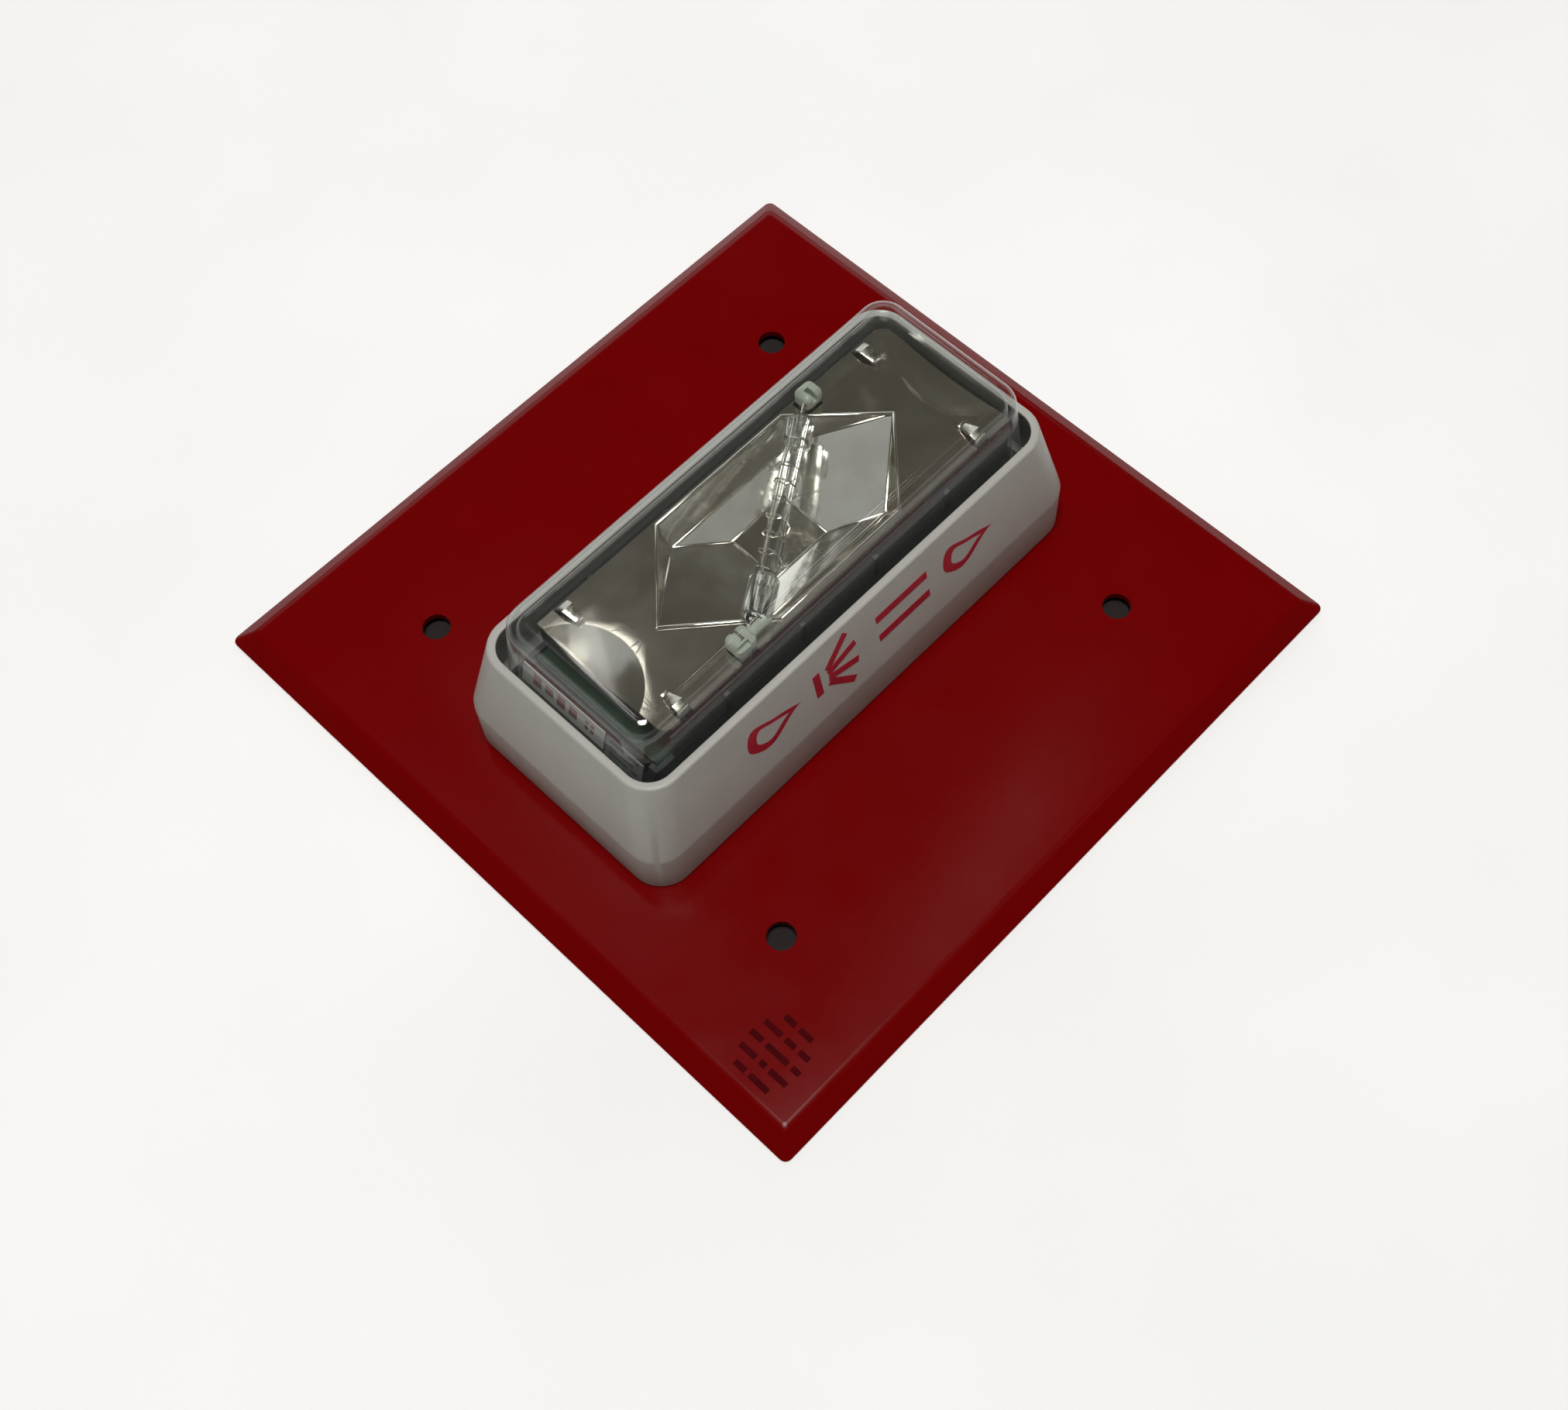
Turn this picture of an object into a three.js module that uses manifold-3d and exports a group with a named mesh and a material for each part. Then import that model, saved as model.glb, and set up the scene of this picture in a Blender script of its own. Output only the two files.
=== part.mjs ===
// Wall strobe light for a fire alarm: a square steel box plate carries a moulded bezel, and a clear
// lens stands through the bezel over a metallised reflector, a xenon flash tube and its circuit.
// Millimetres. +Z points out of the wall, +X is up when the light is mounted, and the origin lies
// at the centre of the plate's back edge, on the wall.
import * as THREE from 'three';
import { ConvexGeometry } from 'three/addons/geometries/ConvexGeometry.js';
import { mergeVertices } from 'three/addons/utils/BufferGeometryUtils.js';
import Module from 'manifold-3d';

const wasm = await Module();
wasm.setup();

// Box plate: folded steel with four sloping edges, its face standing off the wall.
const PLATE_SIDE = 127;
const PLATE_EDGE = 3.05;
const FACE = 2.5;
const SHEET = 1.2;
const HOLE_SPACING = 78.6;
const HOLE_RADIUS = 2.35;
const HEAD_SEAT = { radius: 4.6, height: 0.05 };
const WINDOW = { x: 36, y: 12.2, r: 2 };

// Heights below are measured from the plate's face.
const GAP = 0.3;
const BEZEL_HEIGHT = 25;
const BEZEL_WALL = 1.8;
const BELT = { z: 9, x: 47.7, y: 22.1, r: 5.6 };
const RIM = { x: 44.35, y: 18.95, r: 5.2, width: 1.4 };
const BOSS = { x: 42.2, y: 16.6, r: 3.7, top: 5.9, pilot: 1.4 };

const LENS_TOP = 34.2;
const LENS_WALL = 1.6;
const LENS_FILLET = 3;
const LENS_DRAFT = 0.085;
const LENS_AT_RIM = { x: 42.15, y: 16.0, r: 4.4 };
const LENS_FLANGE = { z: 9, thick: 1.5, x: 45.0, y: 19.3, r: 3.2 };
const LEDGE = { z: 11.9, thick: 1.4, x: 43.65, y: 17.5 };

// Inner housing: a skirt that stands on the plate and a tub that carries the circuit board.
const SKIRT = { x: 44.8, y: 19.1, r: 3, top: 8.7, wall: 1.5 };
const TUB = { low: -40.6, high: 40.2, y: 14.3, r: 3, top: 20 };
const TUB_SLOPE = { start: 13, lean: 0.272 };
const BOARD = { low: -37.5, high: 38.8, y: 13.1, z: 18, thick: 1.6 };

// Reflector: a flat metallised panel with a faceted bowl and a scooped hollow at each end.
const REFLECTOR = { low: -35.5, high: 39.8, y: 13.6, r: 2, z: 27, thick: 0.8 };
const BOWL_RIM = [[-11.3, 13.0], [16, 13.0], [28.3, 0.5], [15.6, -12.4], [-10, -12.4], [-23.9, 0]];
const BOWL_STEP = { x: 2.2, y: 0.3, halfX: 13.4, halfY: 9.8, drop: 3.5 };
const BOWL_FLOOR = { halfX: 5.6, halfY: 4.8, drop: 5.5 };
const BOWL_SKIN = 0.6;
const CLIP_SPOTS = [[-31, 1], [33.6, 1], [-31, -1], [33.6, -1]];

// Flash tube: it crosses the bowl on the slant, held by a moulded post at each end.
const TUBE = { x: 1.4, y: -0.75, z: 29.3, length: 36.6, outer: 1.5, bore: 0.95 };
const TUBE_TURN = Math.atan2(20.1, 30.6);
const HOLDERS = [[20.6, 11.8], [-17.8, -11.8]];
const WIRE_RADIUS = 0.15;
const WIRE_TURNS = 7;

const TERMINALS = 4;
const TERMINAL_PITCH = 5;
const BLOCK = { x: -33.8, y: -7, halfY: 4, z: 6.7, top: 17.7 };

const COLOURS = {
  redPaint: [0x8a0c0e, 0.3, 0.1],
  ivoryPlastic: [0xc9c4b8, 0.35, 0],
  clearPlastic: [0xe6ebea, 0.05, 0],
  greyRubber: [0x3a3c3d, 0.8, 0],
  charcoalPlastic: [0x2e3133, 0.6, 0],
  mirrorFilm: [0xd8d4cc, 0.1, 1],
  boardGreen: [0x123f26, 0.45, 0],
  glass: [0xdfe6e4, 0.03, 0],
  nickel: [0xb9b6ae, 0.3, 1],
  milkyNylon: [0xcdd0c4, 0.5, 0],
  whiteLabel: [0xe3e2de, 0.5, 0],
  greySticker: [0x7c807f, 0.5, 0],
  sleeveBlue: [0x1d2b4d, 0.35, 0],
  ferrite: [0x35322f, 0.7, 0],
  copper: [0x9a5a2c, 0.3, 1],
  terminalGreen: [0x2d7a46, 0.5, 0],
  zinc: [0xa9abab, 0.35, 1],
  ochreFilm: [0xa8741f, 0.4, 0],
  blackEpoxy: [0x161616, 0.5, 0],
  tanCeramic: [0xb79a6a, 0.6, 0],
};

function finish(name) {
  const [color, roughness, metalness] = COLOURS[name];
  return new THREE.MeshStandardMaterial({ name, color, roughness, metalness });
}

const object = new THREE.Group();
const assembly = new THREE.Group();
assembly.position.z = FACE;
object.add(assembly);

function place(name, geometry, look, parent = assembly) {
  const mesh = new THREE.Mesh(geometry, finish(look));
  mesh.name = name;
  parent.add(mesh);
  return mesh;
}

// ---- joining and cutting ----

function solid(geometry) {
  const bare = new THREE.BufferGeometry();
  bare.setAttribute('position', geometry.attributes.position.clone());
  bare.setIndex(geometry.index);
  const merged = mergeVertices(bare, 1e-5);
  return new wasm.Manifold(new wasm.Mesh({
    numProp: 3,
    vertProperties: new Float32Array(merged.attributes.position.array),
    triVerts: new Uint32Array(merged.index.array),
  }));
}

function shell(manifold) {
  const mesh = manifold.getMesh();
  const geometry = new THREE.BufferGeometry();
  geometry.setAttribute('position', new THREE.BufferAttribute(mesh.vertProperties, 3));
  geometry.setIndex(new THREE.BufferAttribute(mesh.triVerts, 1));
  geometry.computeVertexNormals();
  return geometry;
}

function cut(base, tools) {
  return tools.reduce((rest, tool) => rest.subtract(solid(tool)), base);
}

function join(parts) {
  return parts.slice(1).reduce((sum, part) => sum.add(solid(part)), solid(parts[0]));
}

// ---- shapes ----

function roundedRectangle(x, y, r) {
  const outline = new THREE.Shape();
  outline.absarc(x - r, y - r, r, 0, Math.PI / 2);
  outline.absarc(r - x, y - r, r, Math.PI / 2, Math.PI);
  outline.absarc(r - x, r - y, r, Math.PI, Math.PI * 1.5);
  outline.absarc(x - r, r - y, r, Math.PI * 1.5, Math.PI * 2);
  return outline;
}

// A solid through level outlines given from the bottom up as { z, x, y, r }, with half sizes.
function stack(levels, segments = 6) {
  const base = levels[0];
  const geometry = new THREE.ExtrudeGeometry(roundedRectangle(base.x, base.y, base.r), {
    depth: levels.length - 1,
    steps: levels.length - 1,
    bevelEnabled: false,
    curveSegments: segments,
  });
  const points = geometry.attributes.position;
  for (let i = 0; i < points.count; i += 1) {
    const level = levels[Math.round(points.getZ(i))];
    const sideX = Math.sign(points.getX(i));
    const sideY = Math.sign(points.getY(i));
    const arcX = points.getX(i) - sideX * (base.x - base.r);
    const arcY = points.getY(i) - sideY * (base.y - base.r);
    const scale = level.r / base.r;
    points.setXYZ(i, sideX * (level.x - level.r) + arcX * scale,
      sideY * (level.y - level.r) + arcY * scale, level.z);
  }
  return geometry;
}

function slab(x, y, r, low, high, segments) {
  return stack([{ z: low, x, y, r }, { z: high, x, y, r }], segments);
}

function box(lowX, highX, lowY, highY, lowZ, highZ) {
  const geometry = new THREE.BoxGeometry(highX - lowX, highY - lowY, highZ - lowZ);
  return geometry.translate((lowX + highX) / 2, (lowY + highY) / 2, (lowZ + highZ) / 2);
}

function rod(x, y, radius, low, high, sides = 12) {
  const geometry = new THREE.CylinderGeometry(radius, radius, high - low, sides);
  return geometry.rotateX(Math.PI / 2).translate(x, y, (low + high) / 2);
}

function turned(profile, sides = 16) {
  return new THREE.LatheGeometry(profile.map(([r, h]) => new THREE.Vector2(r, h)), sides);
}

// A round cross-section with few sides, for thin wire.
function wireSection(radius, sides = 6) {
  const turn = (Math.PI * 2) / sides;
  const points = Array.from({ length: sides }, (_, i) => (
    new THREE.Vector2(radius * Math.cos(i * turn), radius * Math.sin(i * turn))));
  return new THREE.Shape(points);
}

function corners(x, y) {
  return [[x, y], [-x, y], [-x, -y], [x, -y]];
}

// ---- plate ----

// Each fixing hole has a faintly raised seat round it for the head of its screw.
function boxPlate() {
  const face = PLATE_SIDE / 2 - PLATE_EDGE;
  const slope = PLATE_EDGE / FACE;
  const skin = SHEET * Math.hypot(1, 1 / slope);
  const outer = stack([
    { z: 0, x: PLATE_SIDE / 2, y: PLATE_SIDE / 2, r: 0.8 },
    { z: FACE, x: face, y: face, r: 0.8 },
  ], 2);
  const inside = PLATE_SIDE / 2 - skin;
  const under = FACE - SHEET;
  const hollow = stack([
    { z: -1, x: inside + slope, y: inside + slope, r: 0.5 },
    { z: under, x: inside - slope * under, y: inside - slope * under, r: 0.5 },
  ], 2);
  const holes = corners(HOLE_SPACING / 2, HOLE_SPACING / 2).map(([x, y]) => (
    rod(x, y, HOLE_RADIUS, -1, FACE + 1, 20)));
  const seats = corners(HOLE_SPACING / 2, HOLE_SPACING / 2).map(([x, y]) => (
    rod(x, y, HEAD_SEAT.radius, FACE - 0.5, FACE + HEAD_SEAT.height, 24)));
  const bossHoles = corners(BOSS.x, BOSS.y).map(([x, y]) => rod(x, y, 1.6, -1, FACE + 1));
  const opening = slab(WINDOW.x, WINDOW.y, WINDOW.r, -1, FACE + 1, 4);
  return shell(cut(join([outer, ...seats]), [hollow, opening, ...holes, ...bossHoles]));
}

// ---- bezel, lens and gasket ----

function bezelInside(z) {
  const taper = Math.min(Math.max((z - BELT.z) / (BEZEL_HEIGHT - BELT.z), 0), 1);
  return {
    z,
    x: THREE.MathUtils.lerp(BELT.x - BEZEL_WALL, RIM.x - RIM.width, taper),
    y: THREE.MathUtils.lerp(BELT.y - BEZEL_WALL, RIM.y - RIM.width, taper),
    r: 3.8,
  };
}

function bezel() {
  const lip = 0.25;
  const outer = stack([
    { ...BELT, z: GAP },
    BELT,
    { ...RIM, z: BEZEL_HEIGHT - lip },
    { z: BEZEL_HEIGHT, x: RIM.x - lip, y: RIM.y - lip, r: RIM.r - lip },
  ], 6);
  const low = bezelInside(LEDGE.z);
  const high = bezelInside(LEDGE.z + LEDGE.thick);
  const lensHole = { x: LEDGE.x, y: LEDGE.y, r: 4.6 };
  const bore = stack([
    { ...bezelInside(0), z: -1 },
    bezelInside(BELT.z),
    low,
    { ...lensHole, z: LEDGE.z + 0.01 },
    { ...lensHole, z: high.z },
    { ...high, z: high.z + 0.01 },
    bezelInside(BEZEL_HEIGHT),
    { ...bezelInside(BEZEL_HEIGHT), z: BEZEL_HEIGHT + 1 },
  ], 6);
  const bosses = corners(BOSS.x, BOSS.y).map(([x, y]) => rod(x, y, BOSS.r, GAP, BOSS.top, 20));
  const pilots = corners(BOSS.x, BOSS.y).map(([x, y]) => rod(x, y, BOSS.pilot, -1, BOSS.top - 1));
  const hollow = cut(solid(outer), [bore]);
  const whole = bosses.reduce((sum, boss) => sum.add(solid(boss)), hollow);
  return shell(cut(whole, pilots));
}

function lensAt(z, inset = 0) {
  const grow = (BEZEL_HEIGHT - z) * LENS_DRAFT;
  return {
    z,
    x: LENS_AT_RIM.x + grow - inset,
    y: LENS_AT_RIM.y + grow - inset,
    r: LENS_AT_RIM.r - inset,
  };
}

// Levels of a drafted box whose top edge is rounded to the given fillet.
function lensBody(low, top, fillet, inset) {
  const levels = [lensAt(low, inset)];
  const steps = 3;
  for (let i = 0; i <= steps; i += 1) {
    const angle = (i / steps) * (Math.PI / 2);
    const pull = inset + fillet * (1 - Math.cos(angle));
    levels.push(lensAt(top - fillet * (1 - Math.sin(angle)), pull));
  }
  return stack(levels, 5);
}

function bossNotches(low, high) {
  return corners(BOSS.x, BOSS.y).map(([x, y]) => rod(x, y, BOSS.r + GAP, low, high, 20));
}

function lens() {
  const flangeTop = LENS_FLANGE.z + LENS_FLANGE.thick;
  const flange = slab(LENS_FLANGE.x, LENS_FLANGE.y, LENS_FLANGE.r, LENS_FLANGE.z, flangeTop, 6);
  const outer = lensBody(LENS_FLANGE.z, LENS_TOP, LENS_FILLET, 0);
  const inner = lensBody(LENS_FLANGE.z - 1, LENS_TOP - LENS_WALL, LENS_FILLET - LENS_WALL,
    LENS_WALL);
  return shell(cut(join([outer, flange]), [inner]));
}

function gasket() {
  const low = LENS_FLANGE.z + LENS_FLANGE.thick + GAP;
  const high = LEDGE.z - GAP;
  const ring = slab(LENS_FLANGE.x - 0.1, LENS_FLANGE.y - 0.1, 3.2, low, high, 6);
  const hole = slab(LEDGE.x + 0.1, LEDGE.y + 0.15, 4.5, low - 1, high + 1, 6);
  return shell(cut(solid(ring), [hole]));
}

// ---- inner housing and circuit board ----

function housing() {
  const middle = (TUB.low + TUB.high) / 2;
  const halfX = (TUB.high - TUB.low) / 2;
  const tub = slab(halfX, TUB.y, TUB.r, SKIRT.top - 1, TUB.top, 5).translate(middle, 0, 0);
  const skirt = slab(SKIRT.x, SKIRT.y, SKIRT.r, GAP, SKIRT.top, 5);
  const skirtRoom = slab(SKIRT.x - SKIRT.wall, SKIRT.y - SKIRT.wall, SKIRT.r - SKIRT.wall, -1,
    SKIRT.top - SKIRT.wall, 5);
  const well = box(TUB.low + 1.5, TUB.high - 1.5, 1.8 - TUB.y, TUB.y - 1.8, -1, TUB.top + 1);
  const recess = box(BOARD.low - GAP, BOARD.high + GAP, -BOARD.y - GAP, BOARD.y + GAP,
    BOARD.z - GAP, TUB.top + 1);
  const wedge = box(-10, 0, -30, 30, 0, 20);
  wedge.rotateY(Math.atan(TUB_SLOPE.lean)).translate(TUB.low, 0, TUB_SLOPE.start);
  const tools = [skirtRoom, well, recess, wedge, ...bossNotches(-1, BOSS.top + GAP)];
  return shell(cut(join([tub, skirt]), tools));
}

function board() {
  const sheet = box(BOARD.low, BOARD.high, -BOARD.y, BOARD.y, BOARD.z, BOARD.z + BOARD.thick);
  const leadHoles = HOLDERS.map(([x, y]) => rod(x, y, 0.7, BOARD.z - 1, TUB.top, 12));
  return shell(cut(solid(sheet), leadHoles));
}

function insulator() {
  const low = BOARD.z + BOARD.thick + GAP;
  return box(-20, BOARD.high - 0.6, -10.1, 10.1, low, low + 0.5);
}

// ---- reflector ----

function bowlPoints(grow, drop, rimZ) {
  const points = [];
  for (const [x, y] of BOWL_RIM) {
    const reach = 1 + grow / Math.hypot(x - BOWL_STEP.x, y - BOWL_STEP.y);
    const px = BOWL_STEP.x + (x - BOWL_STEP.x) * reach;
    const py = BOWL_STEP.y + (y - BOWL_STEP.y) * reach;
    points.push(new THREE.Vector3(px, py, REFLECTOR.z + rimZ));
    points.push(new THREE.Vector3(px, py, REFLECTOR.z));
  }
  for (const ring of [{ ...BOWL_STEP }, { ...BOWL_STEP, ...BOWL_FLOOR }]) {
    for (const [x, y] of corners(ring.halfX + grow, ring.halfY + grow)) {
      points.push(new THREE.Vector3(ring.x + x, ring.y + y, REFLECTOR.z - ring.drop - drop));
    }
  }
  return points;
}

function reflector() {
  const middle = (REFLECTOR.low + REFLECTOR.high) / 2;
  const halfX = (REFLECTOR.high - REFLECTOR.low) / 2;
  const low = REFLECTOR.z - REFLECTOR.thick;
  const panel = slab(halfX, REFLECTOR.y, REFLECTOR.r, low, REFLECTOR.z, 5).translate(middle, 0, 0);
  const bowl = new ConvexGeometry(bowlPoints(0.4, BOWL_SKIN, -REFLECTOR.thick));
  const trimmed = solid(bowl).intersect(solid(
    box(REFLECTOR.low, REFLECTOR.high, -REFLECTOR.y, REFLECTOR.y, 0, REFLECTOR.z)));
  const scoops = [[REFLECTOR.low, 1], [REFLECTOR.high, -1]].map(([x, side]) => {
    const cone = new THREE.CylinderGeometry(9, 0.2, 10, 20);
    return cone.rotateZ((side * Math.PI) / 2).translate(x + side * 3, 0, REFLECTOR.z + 7.6);
  });
  const clipHoles = CLIP_SPOTS.map(([x, side]) => (
    box(x - 1.3, x + 1.3, side * 13 - 1.0, side * 13 + 1.0, 20, 30)));
  const postHoles = HOLDERS.map(([x, y]) => {
    const edge = Math.sign(y) * 15;
    return box(x - 1.8, x + 1.8, Math.min(y - 1.8, edge), Math.max(y + 1.8, edge), 20, 30);
  });
  const tools = [new ConvexGeometry(bowlPoints(0, 0, 1)), ...scoops, ...clipHoles, ...postHoles];
  return shell(cut(solid(panel).add(trimmed), tools));
}

// A bent spring strip that stands on the board and hooks over the reflector's edge.
function clip(x, side) {
  const foot = BOARD.z + BOARD.thick + GAP;
  const hookLow = REFLECTOR.z + GAP;
  const outline = new THREE.Shape();
  outline.moveTo(12.6, foot);
  outline.lineTo(13.1, foot);
  outline.lineTo(13.1, hookLow + 0.9);
  outline.lineTo(12.6, hookLow + 1.3);
  outline.lineTo(10.6, hookLow + 0.5);
  outline.lineTo(10.8, hookLow);
  outline.lineTo(12.6, hookLow + 0.7);
  outline.closePath();
  const strip = new THREE.ExtrudeGeometry(outline, { depth: 2, bevelEnabled: false });
  strip.rotateX(Math.PI / 2).rotateZ(Math.PI / 2).translate(-1, 0, 0);
  if (side < 0) {
    strip.rotateZ(Math.PI);
  }
  return strip.translate(x, 0, 0);
}

// ---- flash tube ----

function alongTube(geometry) {
  return geometry.rotateZ(TUBE_TURN - Math.PI / 2).translate(TUBE.x, TUBE.y, TUBE.z);
}

function flashTube() {
  const half = TUBE.length / 2;
  const ring = [[TUBE.bore, -half], [TUBE.outer, -half], [TUBE.outer, half], [TUBE.bore, half]];
  return alongTube(turned([...ring, ring[0]], 20));
}

function tubeEnd(side) {
  return new THREE.Vector3(side * (TUBE.length / 2 - 0.6), 0, 0)
    .applyAxisAngle(new THREE.Vector3(0, 0, 1), TUBE_TURN)
    .add(new THREE.Vector3(TUBE.x, TUBE.y, TUBE.z));
}

function electrode(x, y, side) {
  const pin = alongTube(new THREE.CylinderGeometry(0.6, 0.6, 6.5, 10)
    .translate(0, side * (TUBE.length / 2 - 3.4), 0));
  const tip = tubeEnd(side);
  const bend = new THREE.QuadraticBezierCurve3(
    tip.clone().lerp(new THREE.Vector3(x, y, TUBE.z), 0.75),
    new THREE.Vector3(x, y, TUBE.z),
    new THREE.Vector3(x, y, TUBE.z - 1.4));
  const route = new THREE.CatmullRomCurve3([
    tip, ...bend.getPoints(5), new THREE.Vector3(x, y, 24), new THREE.Vector3(x, y, 16.6)]);
  const lead = new THREE.ExtrudeGeometry(wireSection(0.35, 8), {
    extrudePath: route, steps: 18, bevelEnabled: false,
  });
  return shell(join([pin, lead]));
}

// Igniter wire: an open helix of bare wire round the glass.
class Helix extends THREE.Curve {
  getPoint(t) {
    const angle = t * WIRE_TURNS * Math.PI * 2;
    const radius = TUBE.outer + GAP + WIRE_RADIUS;
    return new THREE.Vector3(radius * Math.cos(angle), (t - 0.5) * 22, radius * Math.sin(angle));
  }
}

function igniterWire() {
  return alongTube(new THREE.ExtrudeGeometry(wireSection(WIRE_RADIUS), {
    extrudePath: new Helix(), steps: WIRE_TURNS * 10, bevelEnabled: false,
  }));
}

function holder(x, y, side) {
  const end = tubeEnd(side);
  const toTube = Math.atan2(end.y - y, end.x - x);
  const foot = BOARD.z + BOARD.thick + GAP;
  const head = slab(2.5, 1.7, 1.2, REFLECTOR.z + GAP, TUBE.z + 1.1, 4);
  const post = rod(0, 0, 1.4, foot, REFLECTOR.z + 1);
  const bore = rod(0, 0, 0.7, foot - 1, TUBE.z + 2, 12);
  const slot = box(0, 4, -0.7, 0.7, TUBE.z - 0.7, TUBE.z + 2).rotateZ(toTube);
  return shell(cut(join([head, post]), [bore, slot])).translate(x, y, 0);
}

// ---- labels on the sloping end of the tub ----

function onSlope(lowY, highY, lowZ, highZ) {
  const thick = 0.2;
  const sheet = box(-GAP - thick, -GAP, lowY, highY, lowZ - TUB_SLOPE.start,
    highZ - TUB_SLOPE.start);
  return sheet.rotateY(Math.atan(TUB_SLOPE.lean)).translate(TUB.low, 0, TUB_SLOPE.start);
}

// ---- parts under the board ----

function canCapacitor() {
  const profile = [[0, 0], [4.3, 0], [5, 0.6], [5, 2], [4.7, 2.4], [5, 2.8], [5, 22], [4.4, 22.5],
    [0, 22.5]];
  const can = turned(profile, 24).rotateZ(-Math.PI / 2).translate(-9, 6, BOARD.z - 5.4);
  return shell(join([can, rod(-8.2, 7.8, 0.4, 12.6, 17.8, 8), rod(-8.2, 4.2, 0.4, 12.6, 17.8, 8)]));
}

function coilTransformer() {
  const parts = [box(-8, 1, -11, -2, 8.7, 10.4), box(-8, 1, -11, -2, 16, 17.7),
    rod(-3.5, -6.5, 3.6, 9, 17, 20)];
  return shell(join(parts));
}

function drumInductor() {
  const drum = [[0, 8.7], [4, 8.7], [4, 10.2], [2.6, 10.6], [2.6, 15.8], [4, 16.2], [4, 17.7],
    [0, 17.7]];
  return turned(drum, 20).rotateX(Math.PI / 2).translate(8.5, -6.5, 0);
}

function inductorWinding() {
  const ring = [[2.95, 10.9], [3.8, 10.9], [3.8, 15.5], [2.95, 15.5], [2.95, 10.9]];
  return turned(ring, 20).rotateX(Math.PI / 2).translate(8.5, -6.5, 0);
}

function powerTransistor() {
  const body = box(18, 28, -10.5, -7, 8.2, 15);
  const tab = box(18, 28, -7.2, -5.9, 2.9, 15);
  const hole = rod(0, 0, 1.7, -3, 3).rotateX(Math.PI / 2).translate(23, -6.5, 5.6);
  const legs = [20.5, 23, 25.5].map((x) => box(x - 0.4, x + 0.4, -8.6, -8.1, 14.5, 17.7));
  return shell(cut(join([body, tab, ...legs]), [hole]));
}

function filmCapacitor() {
  return slab(6, 2.8, 1.2, 8.5, 17.7, 4).translate(26, 7, 0);
}

// An axial part lying under the board, with both leads turned up to it.
function axialPart(x, y, radius, length) {
  const z = BOARD.z - 3.2;
  const barrel = turned([[0, 0], [radius * 0.9, 0], [radius, 0.4], [radius, length - 0.4],
    [radius * 0.9, length], [0, length]], 14).translate(0, -length / 2, 0);
  const wire = new THREE.CylinderGeometry(0.3, 0.3, length + 3, 8);
  const legs = [-1, 1].map((side) => rod(0, side * (length / 2 + 1.4), 0.3, -0.25, 2.9, 8));
  return shell(join([barrel, wire, ...legs])).translate(x, y, z);
}

// ---- terminal block ----

function poleX(index) {
  return BLOCK.x + TERMINAL_PITCH * (index + 0.5);
}

function terminalBlock() {
  const end = BLOCK.x + TERMINALS * TERMINAL_PITCH + 0.6;
  const body = box(BLOCK.x - 0.6, end, BLOCK.y - BLOCK.halfY, BLOCK.y + BLOCK.halfY, BLOCK.z,
    BLOCK.top);
  const tools = [];
  for (let i = 0; i < TERMINALS; i += 1) {
    const x = poleX(i);
    tools.push(rod(x, BLOCK.y, 1.95, BLOCK.z - 1, BLOCK.z + 2.4, 16));
    tools.push(rod(x, BLOCK.y, 1.25, BLOCK.z, BLOCK.z + 4, 12));
    tools.push(box(x - 2.1, x + 2.1, BLOCK.y - 2.2, BLOCK.y + 5, BLOCK.z + 3.3, BLOCK.z + 9.3));
  }
  return shell(cut(solid(body), tools));
}

function terminalScrew(index) {
  const head = rod(0, 0, 1.6, BLOCK.z + 0.5, BLOCK.z + 2.1, 20);
  const shank = rod(0, 0, 0.9, BLOCK.z + 2, BLOCK.z + 8.9, 10);
  const slot = box(-2, 2, -0.25, 0.25, BLOCK.z, BLOCK.z + 1.3);
  return shell(cut(join([head, shank]), [slot])).translate(poleX(index), BLOCK.y, 0);
}

function wireClamp(index) {
  const block = box(-1.75, 1.75, -1.8, 3.2, BLOCK.z + 6.8, BLOCK.z + 9);
  const thread = rod(0, 0, 1.25, BLOCK.z, BLOCK.z + 9, 12);
  return shell(cut(solid(block), [thread])).translate(poleX(index), BLOCK.y, 0);
}

// ---- fixings ----

function bezelScrew(x, y) {
  const under = -SHEET - GAP;
  const head = rod(0, 0, 2.6, under - 0.8, under, 20);
  const shank = rod(0, 0, 1.05, under - 0.2, BOSS.top - 1.6, 12);
  const slot = box(-3, 3, -0.35, 0.35, under - 1, under - 0.4);
  return shell(cut(join([head, shank]), [slot])).translate(x, y, 0);
}

// ---- assembly ----

place('mounting_plate', boxPlate(), 'redPaint', object);
place('bezel', bezel(), 'ivoryPlastic');
place('lens', lens(), 'clearPlastic');
place('lens_gasket', gasket(), 'greyRubber');
place('inner_housing', housing(), 'charcoalPlastic');
place('circuit_board', board(), 'boardGreen');
place('insulating_sheet', insulator(), 'charcoalPlastic');
place('reflector', reflector(), 'mirrorFilm');
CLIP_SPOTS.forEach(([x, side], i) => place(`reflector_clip_${i + 1}`, clip(x, side), 'nickel'));

place('flash_tube', flashTube(), 'glass');
place('igniter_wire', igniterWire(), 'nickel');
HOLDERS.forEach(([x, y], i) => {
  place(`electrode_${i + 1}`, electrode(x, y, Math.sign(y)), 'nickel');
  place(`tube_holder_${i + 1}`, holder(x, y, Math.sign(y)), 'milkyNylon');
});

place('rating_label', onSlope(-3.8, 14, 16, 20), 'whiteLabel');
place('serial_sticker', onSlope(-12, -4.2, 14.2, 20), 'greySticker');

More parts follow.
